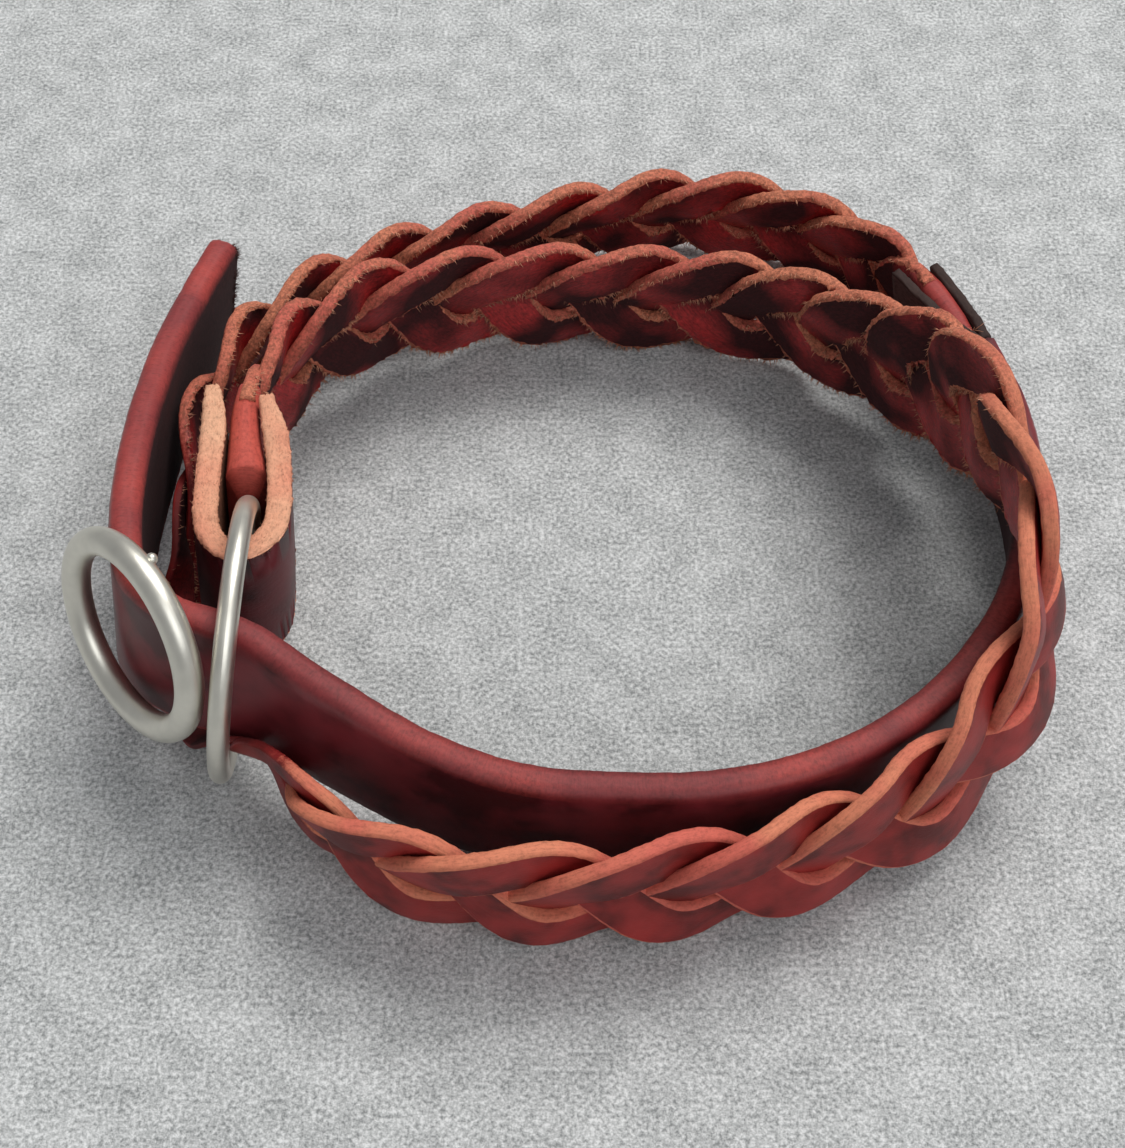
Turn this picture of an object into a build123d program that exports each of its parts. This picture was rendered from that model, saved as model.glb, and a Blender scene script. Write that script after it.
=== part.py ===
from build123d import *
import math
import os

# Braided leather band, wrapped twice and closed with two rings.
# Millimetres, +Z up, the front of the loop faces -Y.

# Leather strap
STRAP_WIDTH = 15.0
STRAP_THICK = 2.5
FOLD_THICK = 2.0
PLY_THICK = 0.9

# Three-strand flat braid
PITCH_MIDDLE = 30.05
PITCH_PER_MM_BACK = -0.063
SWING = 5.1
STACK = 1.6
STACK_SHARPNESS = 2.5
STRAND_WIDTH = 4.4
STRAND_THICK = 1.5
STRAND_WIDENING = 0.5
STEPS_PER_PITCH = 12
BRAID_FIRST_STEP = 4
BRAID_LAST_STEP = 132

# Rings
INNER_WIRE_R = 0.9
INNER_RING_R = 11.2
OUTER_WIRE_R = 1.2
OUTER_RING_R = 8.2

# The laid-out loop is moved by this, so that the origin is under its middle
SHIFT = Vector(-1.31, -2.77, 0.122)

# A station is x, y, height of the middle, lean in degrees, size.
# A positive lean tips the top edge towards the inside of the loop.
BRAID = [
    # short left side and inner back run
    (-27.4, -3.6, 12.2, 5, 1), (-28.2, 4.4, 12.2, 5, 1), (-27.2, 12.0, 12.0, 7, 1), (-23.6, 18.2, 11.5, 10, 1),
    (-18.6, 22.8, 10.8, 12, 1), (-12.0, 25.9, 9.8, 12, 1), (-4.5, 27.9, 8.6, 12, 1), (3.5, 28.8, 7.7, 12, 1),
    (11.5, 28.4, 7.6, 12, 1), (19.3, 26.3, 8.3, 12, 1),
    # rising over the strap on the right
    (25.6, 21.8, 9.8, 12, 1), (30.3, 15.8, 12.4, 11, 1), (33.7, 9.2, 16.3, 9, 1), (35.6, 2.0, 20.8, 8, 1),
    (37.1, -5.2, 22.7, 13, 1), (38.4, -12.6, 22.5, 16, 1), (37.9, -19.8, 17.3, 14, 1),
    # front run, outside the strap
    (33.9, -25.8, 12.0, 9, 1), (27.9, -30.5, 8.8, 5, 1), (20.2, -33.9, 7.6, 1, 1), (12.0, -36.2, 7.5, -2, 1),
    (3.5, -37.3, 7.5, -4, 1), (-5.0, -37.2, 7.5, -5, 1), (-13.2, -34.9, 7.5, -8, 1),
    # drawn tight through the inner ring, flat under the strap
    (-19.6, -30.9, 8.2, -10, 0.86), (-23.4, -26.0, 8.2, -12, 0.56), (-26.6, -22.5, 5.7, -46, 0.40),
    (-30.2, -18.6, 3.5, -88, 0.42), (-33.0, -13.8, 3.3, -92, 0.46), (-33.6, -8.6, 3.1, -88, 0.51),
    # left side and outer back run
    (-32.9, -4.4, 3.7, -50, 0.55), (-34.2, 0.6, 5.4, -2, 0.62), (-34.3, 7.4, 6.8, 3, 0.74),
    (-32.8, 14.6, 7.4, 6, 0.94), (-29.6, 21.6, 7.5, 12, 1),
    (-24.6, 27.4, 7.5, 16, 1), (-18.4, 31.8, 7.5, 18, 1), (-11.4, 35.0, 7.5, 20, 1), (-3.8, 37.7, 7.5, 22, 1),
    (4.2, 39.9, 7.5, 22, 1), (12.2, 41.0, 7.5, 22, 1), (20.2, 40.0, 7.5, 20, 1), (27.4, 36.6, 7.5, 17, 1),
    (32.8, 31.0, 7.5, 13, 1), (36.4, 23.8, 7.5, 10, 1), (39.2, 16.2, 7.5, 8, 1),
]
STRAP = [
    # right side
    (39.9, 16.2, 7.5, 8, 1), (41.6, 9.0, 7.5, 8, 1), (42.0, 1.6, 7.5, 8, 1), (41.0, -5.6, 7.5, 8, 1),
    (38.4, -12.8, 7.5, 5, 1), (34.0, -19.2, 7.5, 2, 1),
    # front, rising to the rings
    (28.0, -24.6, 7.5, -2, 1), (20.8, -28.4, 7.5, -5, 1), (12.8, -30.5, 7.5, -6, 1), (4.6, -30.8, 7.5, -6, 1),
    (-3.6, -30.4, 8.0, -5, 1), (-11.4, -28.4, 9.6, -3, 1), (-18.6, -25.0, 11.6, 0, 1), (-25.0, -21.1, 12.7, 2, 1),
    (-31.6, -19.0, 13.6, 4, 1), (-35.7, -15.0, 13.3, 8, 1), (-37.0, -9.4, 12.9, 7, 1),
]
TAIL = [
    (-37.1, -8.6, 12.8, 7, 1), (-37.4, 0.0, 12.0, 6, 1), (-37.2, 8.4, 10.5, 6, 1), (-36.6, 16.4, 9.0, 7, 1),
    (-35.2, 24.2, 8.0, 8, 1), (-34.0, 29.6, 7.6, 10, 1),
]
OUTER_PLY = [(37.0, 26.4, 7.5, 12, 1), (38.8, 22.0, 7.5, 10, 1), (40.32, 16.6, 7.5, 8, 1)]
INNER_PLY = [(33.2, 26.0, 7.5, 12, 1), (36.2, 20.6, 7.5, 10, 1), (39.30, 16.7, 7.5, 8, 1)]
FOLD = [
    (-30.9, 6.0, 12.2, -2, 0.6), (-30.6, 2.0, 12.2, -4, 1), (-30.6, -3.4, 12.2, -5, 1), (-30.3, -8.6, 12.2, -5, 1),
    (-29.1, -11.1, 12.2, -3, 1), (-27.2, -12.1, 12.2, 0, 1), (-25.3, -11.1, 12.2, 3, 1), (-24.3, -8.6, 12.2, 5, 1),
    (-24.6, -3.4, 12.2, 5, 1), (-25.3, 1.2, 12.2, 4, 1), (-26.2, 4.4, 12.2, 3, 0.6),
]


def blend(rows, u):
    """Stations joined by a smooth curve; u counts stations."""
    last = len(rows) - 2
    i = min(max(int(u), 0), last)
    f = u - i
    b, c = rows[i], rows[i + 1]
    a = rows[i - 1] if i > 0 else tuple(2 * p - q for p, q in zip(b, c))
    d = rows[i + 2] if i < last else tuple(2 * q - p for p, q in zip(b, c))
    return tuple(
        0.5 * (2 * q + (r - p) * f + (2 * p - 5 * q + 4 * r - s) * f * f + (3 * q - p - 3 * r + s) * f**3)
        for p, q, r, s in zip(a, b, c, d)
    )


class Route:
    """A path through stations, with the directions across its width and thickness."""

    def __init__(self, rows, fine=16):
        self.rows = rows
        self.count = (len(rows) - 1) * fine
        self.fine = fine
        self.turns = [0.0]
        before = Vector(*rows[0][:3])
        for k in range(1, self.count + 1):
            here = Vector(*blend(rows, k / fine)[:3])
            pitch = PITCH_MIDDLE + PITCH_PER_MM_BACK * here.Y
            self.turns.append(self.turns[-1] + (here - before).length / pitch)
            before = here

    def station(self, turn):
        """Where the braid has made this many turns; the pitch is tighter at the back."""
        k = 1
        while k < self.count and self.turns[k] < turn:
            k += 1
        low, high = self.turns[k - 1], self.turns[k]
        return (k - 1 + (turn - low) / (high - low)) / self.fine

    def frame(self, u):
        x, y, z, lean, size = blend(self.rows, u)
        start = Vector(*blend(self.rows, max(u - 0.02, 0))[:3])
        end = Vector(*blend(self.rows, min(u + 0.02, len(self.rows) - 1))[:3])
        along = (end - start).normalized()
        upright = (Vector(0, 0, 1) - along * along.Z).normalized()
        inward = along.cross(upright)
        a = math.radians(lean)
        up = upright * math.cos(a) + inward * math.sin(a)
        out = upright * math.sin(a) - inward * math.cos(a)
        return Vector(x, y, z), up, out, size


def section(centre, up, out, width, thick):
    corners = [(-1, -1), (1, -1), (1, 1), (-1, 1)]
    points = [centre + up * (width / 2 * i) + out * (thick / 2 * j) for i, j in corners]
    return Wire.make_polygon(points, close=True)


def strip(rows, width, thick, per_station=2, taper=False):
    """Flat leather along a route; with taper, a station's size sets the thickness."""
    route = Route(rows)
    wires = []
    for k in range((len(rows) - 1) * per_station + 1):
        centre, up, out, size = route.frame(k / per_station)
        wires.append(section(centre, up, out, width, thick * (size if taper else 1)))
    return Solid.make_loft(wires, ruled=True)


def strand(route, number):
    """One strand, swinging from edge to edge and passing over and under the others."""
    wires = []
    for k in range(BRAID_FIRST_STEP, BRAID_LAST_STEP + 1):
        turn = k / STEPS_PER_PITCH
        t = 2 * math.pi * (turn + number / 3)
        centre, up, out, size = route.frame(route.station(turn))
        stack = -STACK * math.tanh(STACK_SHARPNESS * math.sin(2 * t)) / math.tanh(STACK_SHARPNESS)
        centre = centre + up * (SWING * math.sin(t) * size) + out * (stack * size)
        slope = math.atan(SWING * math.cos(t) * 2 * math.pi / PITCH_MIDDLE)
        width = STRAND_WIDTH * (1 + STRAND_WIDENING * (1 / math.cos(slope) - 1))
        wires.append(section(centre, up, out, width * size, STRAND_THICK * size))
    return Solid.make_loft(wires, ruled=True)


def tab(route, stops):
    """The uncut leather where the three strands meet."""
    wires = []
    for turn, thick, width in stops:
        centre, up, out, size = route.frame(route.station(turn))
        wires.append(section(centre, up, out, width, thick))
    return Solid.make_loft(wires, ruled=True)


def ring(centre, normal, radius, wire):
    plane = Plane(origin=centre, z_dir=normal)
    return Solid.make_torus(radius, wire, plane)


braid = Route(BRAID)
START = BRAID_FIRST_STEP / STEPS_PER_PITCH
END = BRAID_LAST_STEP / STEPS_PER_PITCH

parts = {
    "ring_end_tab": tab(braid, [(0.01, 3.6, 14.6), (0.5 * START, 2.6, 14.6), (START, 2.0, 14.6)]),
    "strap_end_tab": tab(
        braid,
        [
            (END, 4.0, 14.6),
            (END + 0.10, 2.4, 14.6),
            (END + 0.14, 1.9, 14.6),
            (END + 0.30, 1.5, 14.6),
            (END + 0.38, 0.9, 14.6),
        ],
    ),
    "ring_fold": strip(FOLD, STRAP_WIDTH, FOLD_THICK, 2, taper=True),
    "inner_ring": ring(Vector(-27.4, -16.0, 12.2), Vector(0.990, -0.020, -0.139), INNER_RING_R, INNER_WIRE_R),
    "outer_ring": ring(Vector(-34.85, -18.9, 16.8), Vector(-0.73, -0.64, 0.24), OUTER_RING_R, OUTER_WIRE_R),
    "strap": strip(STRAP, STRAP_WIDTH, STRAP_THICK),
    "strap_tail": strip(TAIL, STRAP_WIDTH, STRAP_THICK),
    "splice_ply_outer": strip(OUTER_PLY, STRAP_WIDTH, PLY_THICK),
    "splice_ply_inner": strip(INNER_PLY, STRAP_WIDTH, PLY_THICK),
}
for number in range(3):
    parts[f"braid_strand_{number + 1}"] = strand(braid, number)

os.makedirs("parts", exist_ok=True)
for name, solid in parts.items():
    export_step(solid.moved(Location(SHIFT)), f"parts/{name}.step")
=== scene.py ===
import math

import bpy
import numpy as np
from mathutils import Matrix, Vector


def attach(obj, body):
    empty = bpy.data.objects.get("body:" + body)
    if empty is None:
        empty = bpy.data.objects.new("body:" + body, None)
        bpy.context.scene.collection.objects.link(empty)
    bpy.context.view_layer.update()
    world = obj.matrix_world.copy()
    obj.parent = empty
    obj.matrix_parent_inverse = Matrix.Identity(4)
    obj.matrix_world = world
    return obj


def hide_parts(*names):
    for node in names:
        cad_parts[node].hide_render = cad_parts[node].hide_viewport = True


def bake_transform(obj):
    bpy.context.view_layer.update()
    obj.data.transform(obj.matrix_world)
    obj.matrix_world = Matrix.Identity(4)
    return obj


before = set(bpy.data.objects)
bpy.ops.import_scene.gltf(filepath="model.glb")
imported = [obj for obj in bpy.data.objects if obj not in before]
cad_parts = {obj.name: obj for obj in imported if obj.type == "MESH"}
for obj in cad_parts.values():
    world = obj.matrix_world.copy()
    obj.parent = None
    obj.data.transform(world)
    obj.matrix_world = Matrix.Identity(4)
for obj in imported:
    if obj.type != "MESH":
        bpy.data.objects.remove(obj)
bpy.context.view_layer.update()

# ---------------------------------------------------------------- dimensions, mm
MM = 0.001
# The laid-out loop is moved by this, as the CAD part is, so that the origin is under its middle
SHIFT = np.array([-1.31, -2.77, 0.122])

# Plain leather
STRAP_WIDTH = 15.0
STRAP_THICK = 2.7
STRAP_ROUND_END = 1.4
FOLD_THICK = 2.1
PLY_THICK = 0.9

# Three-strand flat braid, counted in turns of its pattern
PITCH_MIDDLE = 30.05
PITCH_PER_MM_BACK = -0.063
SWING = 4.85
SWING_FLATNESS = 0.07
STACK = 0.85
STRAND_WIDTH = 5.3
STRAND_THICK = 1.25
STRAND_RADIUS = 0.32
STRAND_CROWN = 0.12
STRAND_TILT = 0.12
TURNS_TO_OPEN = 0.22
TURN_STEP = 1 / 90
TURNS_INTO_TAB = 0.07
START = 4 / 12
END = 134.2 / 12

# Unevenness of the strands: each wander has its step along the strand and its size
LONGER_THAN_BRAID = 400
WIDTH_WANDER = (9, 0.045)
ROLL_WANDER = (7, 0.07)
FRAY_WANDER = (4, 1)
# The edges are smooth in front of one y and wholly worn behind the other
SMOOTH_BEFORE = -16.0
WORN_BEYOND = 8.0
FACE_ROUGHNESS = 0.010
EDGE_ROUGHNESS = 0.015
WORN_ROUGHNESS = 0.055
WORN_RAGGEDNESS = 0.10
HAIRS_PER_LOWER_CORNER = 7
HAIRS_PER_UPPER_CORNER = 3
HAIR_CHANCE = 0.5
HAIR_CHANCE_WANDER = 0.4
LOWER_HAIR_LEAN = (0.3, 1.2)
UPPER_HAIR_LEAN = (-0.4, 0.5)
# Painted shade: where the braid is drawn small, under the strap and behind the fold, the cut edges show less
# of their tone and take the faces' darker one
PAINTED_SHADE_SIZE = 0.5
PAINTED_SHADE_FADE = 0.4
LEAST_EDGE_IN_PAINTED_SHADE = 0.3

# Fibres
HAIR_SPREAD = 0.45
HAIR_CURL = 0.22
HAIR_ROOT = 0.12
HAIR_LENGTHS = (0.35, 1.2)
HAIR_TAPER = 0.6

# A station is x, y, height of the middle, lean in degrees, size. A positive lean tips the top edge
# towards the inside of the loop. The size scales the braid, and in FOLD the thickness.
BRAID = [
    # short left side and inner back run
    (-27.4, -3.6, 12.2, 5, 1), (-28.2, 4.4, 12.2, 5, 1), (-27.2, 12.0, 12.0, 7, 1),
    (-23.6, 18.2, 11.5, 10, 1), (-18.6, 22.8, 10.8, 12, 1), (-12.0, 25.9, 9.8, 12, 1),
    (-4.5, 27.9, 8.6, 12, 1), (3.5, 28.8, 7.7, 12, 1), (11.5, 28.4, 7.6, 12, 1),
    (19.3, 26.3, 8.3, 12, 1),
    # rising over the strap on the right
    (25.6, 21.8, 9.8, 12, 1), (30.3, 15.8, 12.4, 11, 1), (33.7, 9.2, 16.3, 9, 1),
    (35.6, 2.0, 20.8, 8, 1), (37.1, -5.2, 22.7, 13, 1), (38.4, -12.6, 22.5, 16, 1),
    (37.9, -19.8, 17.3, 14, 1),
    # front run, outside the strap
    (33.9, -25.8, 12.0, 9, 1), (27.9, -30.5, 8.8, 5, 1), (20.2, -33.9, 7.6, 1, 1),
    (12.0, -36.2, 7.5, -2, 1), (3.5, -37.3, 7.5, -4, 1), (-5.0, -37.2, 7.5, -5, 1),
    (-13.2, -34.9, 7.5, -8, 1),
    # drawn tight through the inner ring, flat under the strap
    (-19.6, -30.9, 8.2, -10, 0.86), (-23.4, -26.0, 8.2, -12, 0.56),
    (-26.6, -22.5, 5.7, -46, 0.40), (-30.2, -18.6, 3.5, -88, 0.42),
    (-33.0, -13.8, 3.3, -92, 0.46), (-33.6, -8.6, 3.1, -88, 0.51),
    # left side and outer back run
    (-32.9, -4.4, 3.7, -50, 0.55), (-34.2, 0.6, 5.4, -2, 0.62), (-34.3, 7.4, 6.8, 3, 0.74),
    (-32.8, 14.6, 7.4, 6, 0.94), (-29.6, 21.6, 7.5, 12, 1), (-24.6, 27.4, 7.5, 16, 1),
    (-18.4, 31.8, 7.5, 18, 1), (-11.4, 35.0, 7.5, 20, 1), (-3.8, 37.7, 7.5, 22, 1),
    (4.2, 39.9, 7.5, 22, 1), (12.2, 41.0, 7.5, 22, 1), (20.2, 40.0, 7.5, 20, 1),
    (27.4, 36.6, 7.5, 17, 1), (32.8, 31.0, 7.5, 13, 1), (36.4, 23.8, 7.5, 10, 1),
    (39.2, 16.2, 7.5, 8, 1),
]
STRAP = [
    # right side
    (39.9, 16.2, 7.5, 8, 1), (41.6, 9.0, 7.5, 8, 1), (42.0, 1.6, 7.5, 8, 1),
    (41.0, -5.6, 7.5, 8, 1), (38.4, -12.8, 7.5, 5, 1), (34.0, -19.2, 7.5, 2, 1),
    # front, rising to the rings
    (28.0, -24.6, 7.5, -2, 1), (20.8, -28.4, 7.5, -5, 1), (12.8, -30.5, 7.5, -6, 1),
    (4.6, -30.8, 7.5, -6, 1), (-3.6, -30.4, 8.0, -5, 1), (-11.4, -28.4, 9.6, -3, 1),
    (-18.6, -25.0, 11.6, 0, 1), (-25.0, -21.1, 12.7, 2, 1), (-31.6, -19.0, 13.6, 4, 1),
    (-35.7, -15.0, 13.3, 8, 1), (-37.0, -9.4, 12.9, 7, 1),
]
TAIL = [
    (-37.1, -8.6, 12.8, 7, 1), (-37.4, 0.0, 12.0, 6, 1), (-37.2, 8.4, 10.5, 6, 1),
    (-36.6, 16.4, 9.0, 7, 1), (-35.2, 24.2, 8.0, 8, 1), (-34.0, 29.6, 7.6, 10, 1),
]
OUTER_PLY = [(37.0, 26.4, 7.5, 12, 1), (38.8, 22.0, 7.5, 10, 1), (40.32, 16.6, 7.5, 8, 1)]
INNER_PLY = [(33.2, 26.0, 7.5, 12, 1), (36.2, 20.6, 7.5, 10, 1), (39.30, 16.7, 7.5, 8, 1)]
FOLD = [
    (-30.9, 6.0, 12.2, -2, 0.6), (-30.6, 2.0, 12.2, -4, 1), (-30.6, -3.4, 12.2, -5, 1),
    (-30.3, -8.6, 12.2, -5, 1), (-29.1, -11.1, 12.2, -3, 1), (-27.2, -12.1, 12.2, 0, 1),
    (-25.3, -11.1, 12.2, 3, 1), (-24.3, -8.6, 12.2, 5, 1), (-24.6, -3.4, 12.2, 5, 1),
    (-25.3, 1.2, 12.2, 4, 1), (-26.2, 4.4, 12.2, 3, 0.6),
]


# ---------------------------------------------------------------- routes
def blend_rows(rows, u):
    """Stations joined by a smooth curve; u counts stations."""
    last = len(rows) - 2
    i = min(max(int(u), 0), last)
    f = u - i
    b = np.array(rows[i], float)
    c = np.array(rows[i + 1], float)
    a = np.array(rows[i - 1], float) if i > 0 else 2 * b - c
    d = np.array(rows[i + 2], float) if i < last else 2 * c - b
    return 0.5 * (2 * b + (c - a) * f + (2 * a - 5 * b + 4 * c - d) * f * f + (3 * b - a - 3 * c + d) * f**3)


def unit(v):
    return v / np.linalg.norm(v)


def clamp(value, low=0, high=1):
    return min(max(value, low), high)


def ease(f):
    """A smooth change from 0 to 1 as f goes from 0 to 1."""
    return f * f * (3 - 2 * f)


class Route:
    """A path through stations, with the directions across its width and thickness."""

    REACH = 0.02  # stations either side of a place that give its direction

    def __init__(self, rows, fine=16):
        self.rows = rows
        self.u = np.linspace(0, len(rows) - 1, (len(rows) - 1) * fine + 1)
        points = np.array([blend_rows(rows, u)[:3] for u in self.u])
        steps = np.linalg.norm(np.diff(points, axis=0), axis=1)
        pitch = PITCH_MIDDLE + PITCH_PER_MM_BACK * points[1:, 1]
        self.lengths = np.concatenate([[0], np.cumsum(steps)])
        self.turns = np.concatenate([[0], np.cumsum(steps / pitch)])
        self.total = self.lengths[-1]

    def at_length(self, s):
        return self.frame(float(np.interp(s, self.lengths, self.u)))

    def at_turn(self, turn):
        return self.frame(float(np.interp(turn, self.turns, self.u)))

    def frame(self, u):
        row = blend_rows(self.rows, u)
        start = blend_rows(self.rows, max(u - self.REACH, 0))[:3]
        end = blend_rows(self.rows, min(u + self.REACH, len(self.rows) - 1))[:3]
        along = unit(end - start)
        upright = unit(np.array([0, 0, 1.0]) - along * along[2])
        inward = np.cross(along, upright)
        a = math.radians(row[3])
        up = upright * math.cos(a) + inward * math.sin(a)
        out = upright * math.sin(a) - inward * math.cos(a)
        return row[:3], up, out, row[4]


# ---------------------------------------------------------------- meshes
# How much a point of a profile counts as cut edge, and as the fleshy inner face
FACE, RIM, CORNER, EDGE = 0, 0.8, 0.9, 1
GRAIN, BETWEEN, FLESH = 0, 0.5, 1
BEVEL = 0.3  # of the corner's radius


class Profile:
    """A rounded rectangle round a strip: each point across and through, and which surface it lies on.
    The edge's tone creeps a little way over the outer and the inner face."""

    def __init__(self, width, thick, radius, creep=(0.1, 0.4), per_side=3, crown=0.0):
        self.points, self.cut, self.flesh = [], [], []
        w, h, r = width / 2, thick / 2, radius
        bevel = BEVEL * r
        for q in self.face_places(w - r, creep[0]):
            self.add(q, h + crown * (1 - (q / w) ** 2), RIM if abs(q) == w - r else FACE, GRAIN)
        self.add(w - bevel, h - bevel, CORNER, GRAIN)
        for k in range(per_side):
            self.add(w, (1 - 2 * k / (per_side - 1)) * (h - r), EDGE, BETWEEN)
        self.add(w - bevel, -h + bevel, CORNER, FLESH)
        for q in self.face_places(w - r, creep[1])[::-1]:
            self.add(q, -h - crown * (1 - (q / w) ** 2), RIM if abs(q) == w - r else FACE, FLESH)
        self.add(-w + bevel, -h + bevel, CORNER, FLESH)
        for k in range(per_side):
            self.add(-w, (-1 + 2 * k / (per_side - 1)) * (h - r), EDGE, BETWEEN)
        self.add(-w + bevel, h - bevel, CORNER, GRAIN)
        self.points = np.array(self.points)
        self.cut = np.array(self.cut)
        self.flesh = np.array(self.flesh)
        steps = np.linalg.norm(np.diff(self.points, axis=0), axis=1)
        self.lat = np.concatenate([[0], np.cumsum(steps)])
        self.fray = np.nonzero((self.cut == CORNER) & (self.flesh == FLESH))[0]

    def face_places(self, half, creep):
        inner = half - creep
        return [-half, -inner, -inner / 2, 0, inner / 2, inner, half]

    def add(self, across, through, cut, flesh):
        self.points.append((across, through))
        self.cut.append(cut)
        self.flesh.append(flesh)


def smooth_shade(mesh):
    mesh.polygons.foreach_set("use_smooth", [True] * len(mesh.polygons))


def new_object(name, verts, faces, columns=None):
    """A mesh from points in millimetres; columns are named values on its points."""
    mesh = bpy.data.meshes.new(name)
    mesh.from_pydata([tuple(v) for v in (np.array(verts) + SHIFT) * MM], [], faces)
    for key, column in (columns or {}).items():
        layer = mesh.attributes.new(key, "FLOAT", "POINT")
        layer.data.foreach_set("value", np.array(column, np.float32))
    smooth_shade(mesh)
    mesh.update()
    obj = bpy.data.objects.new(name, mesh)
    bpy.context.scene.collection.objects.link(obj)
    return obj


def loft(name, rings, profile, run, swap=False, bare=1.0, worn=0.0):
    """A closed skin through rings of profile points; run is the distance of each ring along the strip,
    bare says how much of each ring's cut edge shows and worn how crumbly that edge is. With swap, the
    grain is on the other face."""
    rings = np.array(rings)
    count, size = rings.shape[:2]
    faces = []
    for i in range(count - 1):
        for j in range(size):
            k = (j + 1) % size
            faces.append((i * size + j, i * size + k, (i + 1) * size + k, (i + 1) * size + j))
    flesh = 1 - profile.flesh if swap else profile.flesh
    columns = {
        "cut": list(np.outer(np.broadcast_to(bare, count), profile.cut).reshape(-1)),
        "flesh": list(np.tile(flesh, count)),
        "run": list(np.repeat(run, size)),
        "lat": list(np.tile(profile.lat, count)),
        "worn": list(np.repeat(np.broadcast_to(worn, count), size)),
    }
    verts = list(rings.reshape(-1, 3))
    for i, flip in ((0, False), (count - 1, True)):
        centre = len(verts)
        verts.append(rings[i].mean(axis=0))
        for key, value in (("cut", 1.0), ("flesh", 0.5), ("run", run[i]), ("lat", 0.0), ("worn", 0.5)):
            columns[key].append(value)
        for j in range(size):
            a, b = i * size + j, i * size + (j + 1) % size
            faces.append((centre, a, b) if flip else (centre, b, a))
    return new_object(name, verts, faces, columns)


def wander(length, step, size, seed):
    """A smooth random value along a length, as a function of the distance."""
    knots = np.random.default_rng(seed).normal(0, size, int(length / step) + 3)

    def value(s):
        i = int(s / step)
        f = ease(s / step - i)
        return knots[i] * (1 - f) + knots[i + 1] * f

    return value


def hairs(name, roots, look, length, radius, seed):
    """Torn leather fibres: fine closed tapering hairs, each from a root along a direction."""
    r = np.random.default_rng(seed)
    verts, faces = [], []
    for point, direction in roots:
        reach = unit(direction + r.normal(0, HAIR_SPREAD, 3)) * length * r.uniform(*HAIR_LENGTHS)
        curl = r.normal(0, HAIR_CURL, 3) * length
        side = unit(np.cross(reach, (0.3, 0.5, 0.8)))
        other = unit(np.cross(reach, side))
        first = len(verts)
        for k in range(3):
            f = k / 3
            centre = point - HAIR_ROOT * unit(direction) + reach * f + curl * f * f
            for j in range(3):
                a = 2 * math.pi * j / 3
                spoke = side * math.cos(a) + other * math.sin(a)
                verts.append(centre + spoke * radius * (1 - HAIR_TAPER * f))
        tip = len(verts)
        verts.append(point + reach + curl)
        faces.append((first + 2, first + 1, first))
        for j in range(3):
            k = (j + 1) % 3
            for ring in (first, first + 3):
                faces.append((ring + j, ring + k, ring + 3 + k, ring + 3 + j))
            faces.append((first + 6 + j, first + 6 + k, tip))
    obj = new_object(name, verts, faces)
    obj.data.materials.append(look)
    return obj


# ---------------------------------------------------------------- materials
def material(name):
    m = bpy.data.materials.new(name)
    m.use_nodes = True
    nodes = m.node_tree.nodes
    return m, nodes, m.node_tree.links, nodes["Principled BSDF"]


def attribute(nodes, name):
    n = nodes.new("ShaderNodeAttribute")
    n.attribute_name = name
    return n.outputs["Fac"]


def scaled(colour, factor):
    return tuple(min(c * factor, 1) for c in colour)


def ramp(nodes, links, value, stops):
    r = nodes.new("ShaderNodeValToRGB")
    while len(r.color_ramp.elements) < len(stops):
        r.color_ramp.elements.new(0.5)
    for element, (position, colour) in zip(r.color_ramp.elements, stops):
        element.position = position
        element.color = (*colour, 1)
    links.new(value, r.inputs["Fac"])
    return r.outputs["Color"]


def shades(nodes, links, value, colour, low, high, dark, light):
    """The colour at a value of one half, times dark where it is low and times light where it is high."""
    stops = [(low, scaled(colour, dark)), (0.50, colour), (high, scaled(colour, light))]
    return ramp(nodes, links, value, stops)


def mix_colour(nodes, links, factor, a, b):
    m = nodes.new("ShaderNodeMix")
    m.data_type = "RGBA"
    links.new(factor, m.inputs["Factor"])
    links.new(a, m.inputs[6])
    links.new(b, m.inputs[7])
    return m.outputs[2]


def mix_value(nodes, links, factor, a, b):
    m = nodes.new("ShaderNodeMix")
    links.new(factor, m.inputs["Factor"])
    for socket, value in ((m.inputs[2], a), (m.inputs[3], b)):
        if isinstance(value, bpy.types.NodeSocket):
            links.new(value, socket)
        else:
            socket.default_value = value
    return m.outputs[0]


def remap(nodes, links, value, low, high, to_low=0.0, to_high=1.0):
    m = nodes.new("ShaderNodeMapRange")
    m.inputs["From Min"].default_value = low
    m.inputs["From Max"].default_value = high
    m.inputs["To Min"].default_value = to_low
    m.inputs["To Max"].default_value = to_high
    links.new(value, m.inputs["Value"])
    return m.outputs[0]


def maths(nodes, links, kind, *values):
    m = nodes.new("ShaderNodeMath")
    m.operation = kind
    for socket, value in zip(m.inputs, values):
        if isinstance(value, bpy.types.NodeSocket):
            links.new(value, socket)
        else:
            socket.default_value = value
    return m.outputs[0]


def noise(nodes, links, scale, detail=4.0, rough=0.6, vector=None):
    n = nodes.new("ShaderNodeTexNoise")
    n.inputs["Scale"].default_value = scale
    n.inputs["Detail"].default_value = detail
    n.inputs["Roughness"].default_value = rough
    if vector is None:
        vector = nodes.new("ShaderNodeTexCoord").outputs["Object"]
    links.new(vector, n.inputs["Vector"])
    return n.outputs["Fac"]


def bump(nodes, links, shader, height, strength, distance):
    relief = nodes.new("ShaderNodeBump")
    relief.inputs["Strength"].default_value = strength
    relief.inputs["Distance"].default_value = distance
    links.new(height, relief.inputs["Height"])
    links.new(relief.outputs["Normal"], shader.inputs["Normal"])


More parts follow.
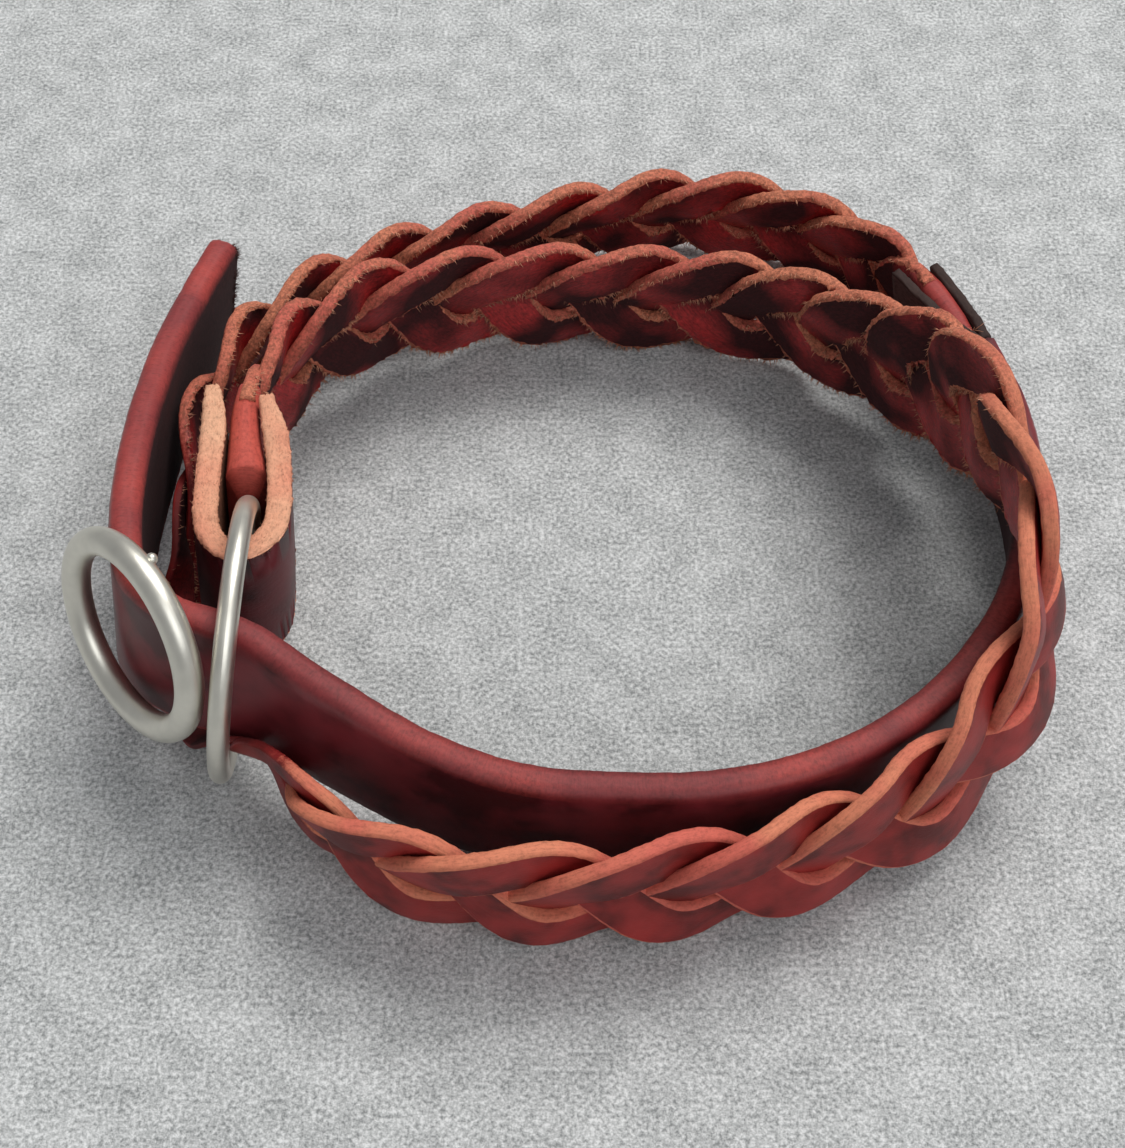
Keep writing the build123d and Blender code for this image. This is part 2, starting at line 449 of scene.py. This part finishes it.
# A noise has its scale in cycles per metre, its detail and its roughness
STREAKS = (1.3, 5, 0.7)  # cycles per millimetre of the stretched strip
BLOTCHES = (170, 3, 0.55)
FINE_GRAIN = (2600, 5, 0.75)
SMOOTHED_PATCHES = (95, 2, 0.5)
DYED_PATCHES = (70, 3, 0.6)
CRUMBS = (3200, 4, 0.8)
CLOUDS = (3, 0.6)  # detail and roughness only
FINISH_GRAIN = (4000, 2, 0.5)
FELT_GRAIN = (2600, 3, 0.75)
FELT_CLOUDS = (240, 3, 0.6)

# Noise values between which a patch or a crumb comes in
SMOOTHED_LIMITS = (0.44, 0.60)
DYED_LIMITS = (0.42, 0.6)
CRUMB_LIMITS = (0.58, 0.38)

# Lowest and highest noise value, and the darkest and lightest shade there
GRAIN_SHADES = (0.38, 0.66, 0.42, 1.45)
FLESH_SHADES = (0.36, 0.66, 0.45, 2.0)
PATCH_SHADES = (0.38, 0.64, 0.4, 1.7)
EDGE_SHADES = (0.36, 0.66, 0.62, 1.2)
# The crumbly wear of worn edges has its pits darkened as painted shade, by this factor of the edge's colour
PIT_PAINTED_SHADE = 0.25
CRUMB_STRENGTH = 0.8

FLESH_ROUGH = 0.85
SMOOTHED_ROUGH = 0.34
LEATHER_RELIEF_DEPTH = 0.0003
FINISH_RELIEF_DEPTH = 0.0001
FELT_RELIEF_DEPTH = 0.0004


def leather(
    name,
    grain,
    flesh,
    edge,
    edge_dyed,
    patch=None,
    grain_rough=0.45,
    edge_rough=0.75,
    relief=0.25,
    shine=0.3,
    stretch=(1.0, 4.0),
    speckle=0.7,
    edge_limits=(0.80, 1.02),
):
    """Leather with a dyed outer face, a rough inner face and a fibrous cut edge, dyed here and there. The
    inner face has smoothed patches if they have a colour; stretch is how fast the streaks change along
    and across, and speckle how unevenly the edge's tone ends on the faces."""
    m, nodes, links, shader = material(name)
    shader.inputs["Specular IOR Level"].default_value = shine
    cut = attribute(nodes, "cut")
    side = attribute(nodes, "flesh")
    stretched = nodes.new("ShaderNodeCombineXYZ")
    for axis, (key, factor) in enumerate(zip(("run", "lat"), stretch)):
        links.new(maths(nodes, links, "MULTIPLY", attribute(nodes, key), factor), stretched.inputs[axis])
    streak = noise(nodes, links, *STREAKS, vector=stretched.outputs[0])
    blotch = noise(nodes, links, *BLOTCHES)
    fine = noise(nodes, links, *FINE_GRAIN)
    both = maths(nodes, links, "MULTIPLY_ADD", streak, 0.5, maths(nodes, links, "MULTIPLY", fine, 0.5))

    grain_colour = shades(nodes, links, blotch, grain, *GRAIN_SHADES)
    flesh_colour = shades(nodes, links, both, flesh, *FLESH_SHADES)
    flesh_rough = FLESH_ROUGH
    if patch:
        smoothed = remap(nodes, links, noise(nodes, links, *SMOOTHED_PATCHES), *SMOOTHED_LIMITS)
        patch_colour = shades(nodes, links, both, patch, *PATCH_SHADES)
        flesh_colour = mix_colour(nodes, links, smoothed, flesh_colour, patch_colour)
        flesh_rough = remap(nodes, links, smoothed, 0, 1, FLESH_ROUGH, SMOOTHED_ROUGH)

    bare = shades(nodes, links, both, edge, *EDGE_SHADES)
    dyed = shades(nodes, links, both, edge_dyed, *EDGE_SHADES)
    dye = remap(nodes, links, noise(nodes, links, *DYED_PATCHES), *DYED_LIMITS)
    edge_colour = mix_colour(nodes, links, dye, bare, dyed)
    # Worn edges crumble: the crumbs are wear, and their dark pits are painted shade
    hollow = remap(nodes, links, noise(nodes, links, *CRUMBS), *CRUMB_LIMITS)
    wear = maths(nodes, links, "MULTIPLY", attribute(nodes, "worn"), CRUMB_STRENGTH)
    crumb = maths(nodes, links, "MULTIPLY", hollow, wear)
    pit_shade_colour = nodes.new("ShaderNodeRGB")
    pit_shade_colour.outputs[0].default_value = (*scaled(edge, PIT_PAINTED_SHADE), 1)
    edge_colour = mix_colour(nodes, links, crumb, edge_colour, pit_shade_colour.outputs[0])

    faces = mix_colour(nodes, links, side, grain_colour, flesh_colour)
    ragged = maths(nodes, links, "MULTIPLY_ADD", fine, speckle, cut)
    on_edge = remap(nodes, links, ragged, *edge_limits)
    links.new(mix_colour(nodes, links, on_edge, faces, edge_colour), shader.inputs["Base Color"])

    face_rough = mix_value(nodes, links, side, grain_rough, flesh_rough)
    rough = maths(nodes, links, "MAXIMUM", face_rough, maths(nodes, links, "MULTIPLY", on_edge, edge_rough))
    links.new(rough, shader.inputs["Roughness"])
    bump(nodes, links, shader, both, relief, LEATHER_RELIEF_DEPTH)
    return m


def speckled(name, colour, rough, metallic=0.0, scale=260, spread=0.14, relief=0.06):
    """A plain finish with a little uneven tone and grain; scale is that of the uneven tone."""
    m, nodes, links, shader = material(name)
    cloud = noise(nodes, links, scale, *CLOUDS)
    tone = ramp(nodes, links, cloud, [(0.35, scaled(colour, 1 - spread)), (0.65, colour)])
    links.new(tone, shader.inputs["Base Color"])
    shader.inputs["Metallic"].default_value = metallic
    links.new(remap(nodes, links, cloud, 0, 1, rough * 0.8, rough * 1.25), shader.inputs["Roughness"])
    bump(nodes, links, shader, noise(nodes, links, *FINISH_GRAIN), relief, FINISH_RELIEF_DEPTH)
    return m


STRAND_LEATHER = leather(
    "strand_leather_look",
    grain=(0.25, 0.020, 0.018),
    flesh=(0.040, 0.005, 0.006),
    edge=(0.62, 0.205, 0.115),
    edge_dyed=(0.56, 0.120, 0.085),
    patch=(0.35, 0.019, 0.020),
)
FOLD_LEATHER = leather(
    "fold_leather_look",
    grain=(0.10, 0.010, 0.014),
    flesh=(0.20, 0.08, 0.045),
    edge=(0.74, 0.40, 0.25),
    edge_dyed=(0.68, 0.27, 0.17),
    relief=0.4,
)
STRAP_LEATHER = leather(
    "strap_leather_look",
    grain=(0.15, 0.018, 0.023),
    flesh=(0.036, 0.011, 0.012),
    edge=(0.37, 0.048, 0.040),
    edge_dyed=(0.22, 0.030, 0.031),
    grain_rough=0.40,
    edge_rough=0.38,
    relief=0.12,
    shine=0.4,
    stretch=(6.0, 0.7),
    speckle=0.2,
    edge_limits=(0.70, 0.98),
)
PLY_LEATHER = leather(
    "ply_leather_look",
    grain=(0.13, 0.016, 0.020),
    flesh=(0.07, 0.05, 0.045),
    edge=(0.045, 0.024, 0.02),
    edge_dyed=(0.03, 0.015, 0.013),
    grain_rough=0.6,
)
TAB_LEATHER = leather(
    "tab_leather_look",
    grain=(0.34, 0.04, 0.03),
    flesh=(0.20, 0.03, 0.025),
    edge=(0.50, 0.085, 0.06),
    edge_dyed=(0.42, 0.06, 0.045),
    grain_rough=0.5,
    edge_rough=0.5,
)
FIBRE = speckled("fibre_look", (0.72, 0.33, 0.20), rough=0.9, scale=900, spread=0.5)
DARK_FIBRE = speckled("dark_fibre_look", (0.07, 0.025, 0.022), rough=0.9, scale=900, spread=0.5)
RING_METAL = speckled("ring_metal_look", (0.80, 0.775, 0.69), rough=0.38, metallic=1.0)


# ---------------------------------------------------------------- braid
braid = Route(BRAID)
frayed = []


def opened(turn):
    """0 where the strands leave the uncut leather side by side, 1 where they are fully plaited."""
    return ease(clamp(min(turn - START, END - turn) / TURNS_TO_OPEN))


def strand_centre(turn, number):
    """Middle of a strand, the directions across and through the braid there, its size and its tilt."""
    t = 2 * math.pi * (turn + number / 3)
    centre, up, out, size = braid.at_turn(turn)
    swing = SWING * (math.sin(t) + SWING_FLATNESS * math.sin(3 * t)) / (1 - SWING_FLATNESS)
    stack = -STACK * math.sin(2 * t) * opened(turn)
    tilt = -STRAND_TILT * math.cos(t) * opened(turn)
    return centre + (up * swing + out * stack) * size, up, out, size, tilt


def strand(number):
    """One thong; it leans over the one below and under the one above, and its width wanders a little."""
    profile = Profile(STRAND_WIDTH, STRAND_THICK, STRAND_RADIUS, creep=(0.06, 0.15), crown=STRAND_CROWN)
    turns = np.arange(START - TURNS_INTO_TAB, END + TURNS_INTO_TAB, TURN_STEP)
    wide = wander(LONGER_THAN_BRAID, *WIDTH_WANDER, seed=100 + number)
    roll = wander(LONGER_THAN_BRAID, *ROLL_WANDER, seed=200 + number)
    fray = wander(LONGER_THAN_BRAID, *FRAY_WANDER, seed=400 + number)
    r = np.random.default_rng(300 + number)
    rings, bare, worn, run = [], [], [], turns * PITCH_MIDDLE
    for turn, s in zip(turns, run):
        centre, up, out, size, tilt = strand_centre(turn, number)
        path = unit(strand_centre(turn + TURN_STEP, number)[0] - strand_centre(turn - TURN_STEP, number)[0])
        across = unit(np.cross(out, path))
        across *= 1 if across @ up > 0 else -1
        through = np.cross(path, across)
        through *= 1 if through @ out > 0 else -1
        a = tilt + roll(s)
        leaned = across * math.cos(a) + through * math.sin(a)
        through = through * math.cos(a) - across * math.sin(a)
        across = leaned
        points = profile.points * size * (1 + wide(s), 1)
        ring = centre + np.outer(points[:, 0], across) + np.outer(points[:, 1], through)
        wear = clamp((centre[1] - SMOOTH_BEFORE) / (WORN_BEYOND - SMOOTH_BEFORE))
        edge_rough = (EDGE_ROUGHNESS + WORN_ROUGHNESS * wear) * profile.cut * (0.4 + profile.flesh)
        ring += r.normal(0, 1, ring.shape) * (FACE_ROUGHNESS + edge_rough)[:, None] * size
        ring[profile.fray] += np.outer(r.normal(0, WORN_RAGGEDNESS * wear, len(profile.fray)), across)
        rings.append(ring)
        worn.append(wear)
        # painted shade on the cut edge where the braid is drawn small
        bare.append(clamp((size - PAINTED_SHADE_SIZE) / PAINTED_SHADE_FADE, LEAST_EDGE_IN_PAINTED_SHADE, 1))
        for corner in profile.fray:
            lower = profile.points[corner, 0] < 0
            for _ in range(HAIRS_PER_LOWER_CORNER if lower else HAIRS_PER_UPPER_CORNER):
                if r.random() < (HAIR_CHANCE + HAIR_CHANCE_WANDER * fray(s)) * wear:
                    lean = -r.uniform(*LOWER_HAIR_LEAN) if lower else r.uniform(*UPPER_HAIR_LEAN)
                    frayed.append((ring[corner], across * lean - through))
    obj = loft(f"braided_thong_{number + 1}", rings, profile, run, bare=bare, worn=worn)
    obj.data.materials.append(STRAND_LEATHER)
    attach(obj, "band")
    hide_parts(f"braid_strand_{number + 1}")


for number in range(3):
    strand(number)
braid_fibres = hairs("braid_fibres", frayed, FIBRE, length=0.55, radius=0.048, seed=11)
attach(braid_fibres, "band")


# ---------------------------------------------------------------- plain leather
RAGGED_STEP = 1.6
RAGGED_GRAIN = 0.25
STRIP_ROUGHNESS = 0.004


def strip(
    name,
    rows,
    profile,
    look,
    step=0.5,
    taper=False,
    swap=False,
    ragged=0.0,
    round_end=0.0,
    bare=None,
    seed=1,
):
    """Flat leather along a route. With taper a station's size sets the thickness, with swap the grain is on
    the inside, ragged makes the cut edges uneven, round_end rounds the last corners and bare gives the cut
    edge's tone from the distance. Returns the object and its rings of points."""
    route = Route(rows)
    run = np.linspace(0, route.total, int(route.total / step) + 1)
    if round_end:
        corner = route.total - round_end * (1 - np.sin(np.linspace(0, math.pi / 2, 9)))
        run = np.concatenate([run[run < corner[0]], corner])
    upper, lower = (wander(route.total, RAGGED_STEP, ragged, seed + k) for k in (0, 1))
    r = np.random.default_rng(seed + 2)
    half = profile.points[:, 0].max()
    rings = []
    for s in run:
        centre, up, out, size = route.at_length(s)
        points = profile.points * (1, size if taper else 1)
        past = max(s - (route.total - round_end), 0)
        points[:, 0] *= 1 - (round_end - math.sqrt(max(round_end**2 - past**2, 0))) / half
        points[:, 0] += np.where(points[:, 0] > 0, upper(s), lower(s)) * profile.cut
        ring = centre + np.outer(points[:, 0], up) + np.outer(points[:, 1], out)
        grain = r.normal(0, RAGGED_GRAIN * ragged + STRIP_ROUGHNESS, ring.shape)
        rings.append(ring + grain * profile.cut[:, None])
    obj = loft(name, rings, profile, run, swap, bare=bare(run) if bare else 1.0)
    obj.data.materials.append(look)
    return obj, np.array(rings)


def place(obj, slot, body, *nodes):
    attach(obj, body)
    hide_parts(*nodes)


# The strap and its free end are one piece, which bends where the end leaves the rings.
# Painted shade along the strap's cut edge: how much of the edge's tone shows, by the distance along the strap
STRAP_SHADE_PLACES = (12.0, 30.0, 95.0, 125.0)
STRAP_SHADE_TONES = (0.3, 0.84, 0.84, 1.0)
# Painted light: the edge's tone creeps 1.2 mm over the outer face and 3 mm over the inner face, a painted
# fall from the lit top edge into the faces' shade
strap_profile = Profile(STRAP_WIDTH, STRAP_THICK, radius=0.9, creep=(1.2, 3.0), per_side=5)


def strap_edge_shading(run):
    """Painted shade on the cut edge: darkest at the splice, darker along the front, and lighter beyond the
    rings, where the free end is lit.
    """
    return np.interp(run, STRAP_SHADE_PLACES, STRAP_SHADE_TONES)


strap, strap_rings = strip(
    "strap_run",
    STRAP[:-1] + TAIL,
    strap_profile,
    STRAP_LEATHER,
    ragged=0.05,
    round_end=STRAP_ROUND_END,
    bare=strap_edge_shading,
)
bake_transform(strap)
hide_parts("strap", "strap_tail")

fold_profile = Profile(STRAP_WIDTH, FOLD_THICK, radius=0.4, creep=(0.4, 0.1), per_side=5)
fold, fold_rings = strip(
    "ring_fold_wrap", FOLD, fold_profile, FOLD_LEATHER, step=0.25, taper=True, swap=True, ragged=0.22, seed=20
)
place(fold, "fold_leather", "band", "ring_fold")

ply_profile = Profile(STRAP_WIDTH, PLY_THICK, radius=0.2)
for layer, rows, seed in (("outer", OUTER_PLY, 30), ("inner", INNER_PLY, 40)):
    ply, _ = strip(f"splice_{layer}", rows, ply_profile, PLY_LEATHER, step=0.4, ragged=0.12, seed=seed)
    place(ply, "strap_leather", "band", f"splice_ply_{layer}")


LARGEST_RADIUS = 0.42  # of the thickness


def tab(name, stops, look, node, radius):
    """The uncut leather where the three strands meet; a stop is its turn, thickness and width."""
    per_stop = 12
    rings, run = [], []
    for k in range((len(stops) - 1) * per_stop + 1):
        i = min(k // per_stop, len(stops) - 2)
        f = k / per_stop - i
        turn, thick, width = np.array(stops[i]) * (1 - f) + np.array(stops[i + 1]) * f
        centre, up, out, _ = braid.at_turn(turn)
        profile = Profile(width, thick, min(radius, thick * LARGEST_RADIUS), per_side=5)
        rings.append(centre + np.outer(profile.points[:, 0], up) + np.outer(profile.points[:, 1], out))
        run.append(turn * PITCH_MIDDLE)
    obj = loft(name, rings, profile, run)
    obj.data.materials.append(look)
    place(obj, "strand_leather", "band", node)
    return rings


tab(
    "ring_end",
    [(0.01, 3.5, 14.4), (0.5 * START, 2.6, 14.5), (START, 2.0, 14.4)],
    TAB_LEATHER,
    "ring_end_tab",
    radius=1.2,
)
tongue_rings = tab(
    "strap_end",
    [(END - 0.02, 1.9, 14.2), (END + 0.08, 2.2, 14.6), (END + 0.25, 2.0, 14.6), (END + 0.32, 1.3, 14.6)],
    STRAP_LEATHER,
    "strap_end_tab",
    radius=0.8,
)


# ---------------------------------------------------------------- loose fibres on the plain leather
def top_edge(rings, profile, count, seed):
    """Roots spread over the upper cut edge of a strip."""
    r = np.random.default_rng(seed)
    edge = np.nonzero((profile.cut >= RIM) & (profile.points[:, 0] > 0))[0]
    roots = []
    for _ in range(count):
        ring = rings[int(r.uniform(0, 1) * (len(rings) - 1))]
        roots.append((ring[r.choice(edge)], np.array([0, 0, 1.0])))
    return roots


def torn_end(rings, count, seed):
    """Roots over the upper half of a strip's last ring, pointing on along the strip."""
    r = np.random.default_rng(seed)
    last = rings[-1]
    middle = last.mean(axis=0)
    ahead = unit(middle - rings[-4].mean(axis=0))
    high = last[last[:, 2] > middle[2]]
    return [(r.choice(high) * f + middle * (1 - f), ahead + (0, 0, 0.6)) for f in r.uniform(0.4, 1, count)]


torn = torn_end(tongue_rings, count=160, seed=60)
tuft = hairs("torn_tuft", torn, FIBRE, length=1.3, radius=0.06, seed=61)
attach(tuft, "band")

# The fibres of the free end grow from the inner face of its last few rings, and lean inwards and down.
HAIRS_PER_TAIL_POINT = 9
tail_ahead = unit(strap_rings[-1].mean(axis=0) - strap_rings[-8].mean(axis=0))
tail_points = np.concatenate(strap_rings[-5:, strap_profile.flesh == FLESH])
tail_points = np.repeat(tail_points, HAIRS_PER_TAIL_POINT, axis=0)
scatter = np.random.default_rng(70)
ahead = scatter.uniform(-0.4, 0.1, (len(tail_points), 1)) * tail_ahead
upwards = scatter.uniform(-0.5, 0.5, (len(tail_points), 1)) * (0, 0, 1)
tail_roots = [(point, tail_ahead + (0.5, 0, -0.3)) for point in tail_points + (ahead + upwards)]
tail_fibres = hairs("tail_fibres", tail_roots, DARK_FIBRE, length=0.5, radius=0.045, seed=71)
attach(tail_fibres, "tail")

fold_roots = top_edge(fold_rings, fold_profile, count=900, seed=50)
fold_fibres = hairs("fold_fibres", fold_roots, FIBRE, length=0.28, radius=0.03, seed=51)
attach(fold_fibres, "band")


# ---------------------------------------------------------------- rings
for name in ("inner_ring", "outer_ring"):
    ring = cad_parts[name]
    ring.data.materials.clear()
    ring.data.materials.append(RING_METAL)
    smooth_shade(ring.data)

# The outer ring's wire ends meet in a small weld bead, on the side nearest to the fold.
OUTER_RING_CENTRE = np.array([-34.85, -18.9, 16.8])
OUTER_RING_NORMAL = unit(np.array([-0.73, -0.64, 0.24]))
OUTER_RING_R = 8.2
OUTER_WIRE_R = 1.2
BEAD_ANGLE = math.radians(265)
BEAD_R = 0.5
BEAD_OUTWARDS = 0.5
BEAD_BACKWARDS = 0.87
level = unit(np.cross(OUTER_RING_NORMAL, (0, 0, 1.0)))
steep = np.cross(OUTER_RING_NORMAL, level)
radial = level * math.cos(BEAD_ANGLE) + steep * math.sin(BEAD_ANGLE)
bead_side = radial * BEAD_OUTWARDS - OUTER_RING_NORMAL * BEAD_BACKWARDS
bead_centre = OUTER_RING_CENTRE + radial * OUTER_RING_R + bead_side * OUTER_WIRE_R
bead_place = (bead_centre + SHIFT) * MM
bpy.ops.mesh.primitive_uv_sphere_add(segments=20, ring_count=12, radius=BEAD_R * MM, location=bead_place)
bead = bpy.context.object
bead.name = "weld_bead"
smooth_shade(bead.data)
bead.data.materials.append(RING_METAL)
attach(bead, "outer_ring")


# ---------------------------------------------------------------- floor, light, camera
FELT_TONES = [(0.37, (0.22, 0.23, 0.23)), (0.50, (0.46, 0.47, 0.47)), (0.63, (0.72, 0.73, 0.73))]
FELT_ROUGH = 0.95
FELT_RELIEF = 0.4
FLOOR_SIZE = 3.0


def felt():
    m, nodes, links, shader = material("felt_look")
    fine = noise(nodes, links, *FELT_GRAIN)
    cloud = noise(nodes, links, *FELT_CLOUDS)
    mottle = maths(nodes, links, "MULTIPLY_ADD", cloud, 0.2, maths(nodes, links, "MULTIPLY", fine, 0.8))
    links.new(ramp(nodes, links, mottle, FELT_TONES), shader.inputs["Base Color"])
    shader.inputs["Roughness"].default_value = FELT_ROUGH
    bump(nodes, links, shader, mottle, FELT_RELIEF, FELT_RELIEF_DEPTH)
    return m


bpy.ops.mesh.primitive_plane_add(size=FLOOR_SIZE, location=(0, 0, 0))
floor = bpy.context.object
floor.name = "floor"
floor.data.materials.append(felt())


def area_light(name, location, size, power, colour):
    """A square lamp that points at the origin; metres and watts."""
    data = bpy.data.lights.new(name, "AREA")
    data.size = size
    data.energy = power
    data.color = colour
    light = bpy.data.objects.new(name, data)
    light.location = location
    light.rotation_euler = (-Vector(location)).to_track_quat("-Z", "Y").to_euler()
    bpy.context.scene.collection.objects.link(light)


area_light("key", location=(0.34, 0.50, 1.10), size=0.7, power=12.5, colour=(1.0, 0.985, 0.96))
area_light("fill", location=(0.5, -0.8, 1.0), size=1.0, power=5.5, colour=(0.96, 0.98, 1.0))
world = bpy.data.worlds.new("studio")
world.use_nodes = True
background = world.node_tree.nodes["Background"]
background.inputs["Color"].default_value = (0.95, 0.97, 1.0, 1)
background.inputs["Strength"].default_value = 0.34
bpy.context.scene.world = world

CAMERA_DISTANCE = 180.0
CAMERA_ELEVATION = math.radians(53)
FOCAL_PIXELS = 1920.0
IMAGE_WIDTH = 1125
SENSOR_WIDTH = 36.0
camera_data = bpy.data.cameras.new("camera")
camera_data.sensor_fit = "HORIZONTAL"
camera_data.sensor_width = SENSOR_WIDTH
camera_data.lens = SENSOR_WIDTH * FOCAL_PIXELS / IMAGE_WIDTH
camera_data.clip_start = 0.01
camera = bpy.data.objects.new("camera", camera_data)
offset = CAMERA_DISTANCE * np.array([0, -math.cos(CAMERA_ELEVATION), math.sin(CAMERA_ELEVATION)])
camera.location = (SHIFT + offset) * MM
camera.rotation_euler = (math.pi / 2 - CAMERA_ELEVATION, 0, 0)
bpy.context.scene.collection.objects.link(camera)
bpy.context.scene.camera = camera
bpy.context.scene.view_settings.view_transform = "Standard"
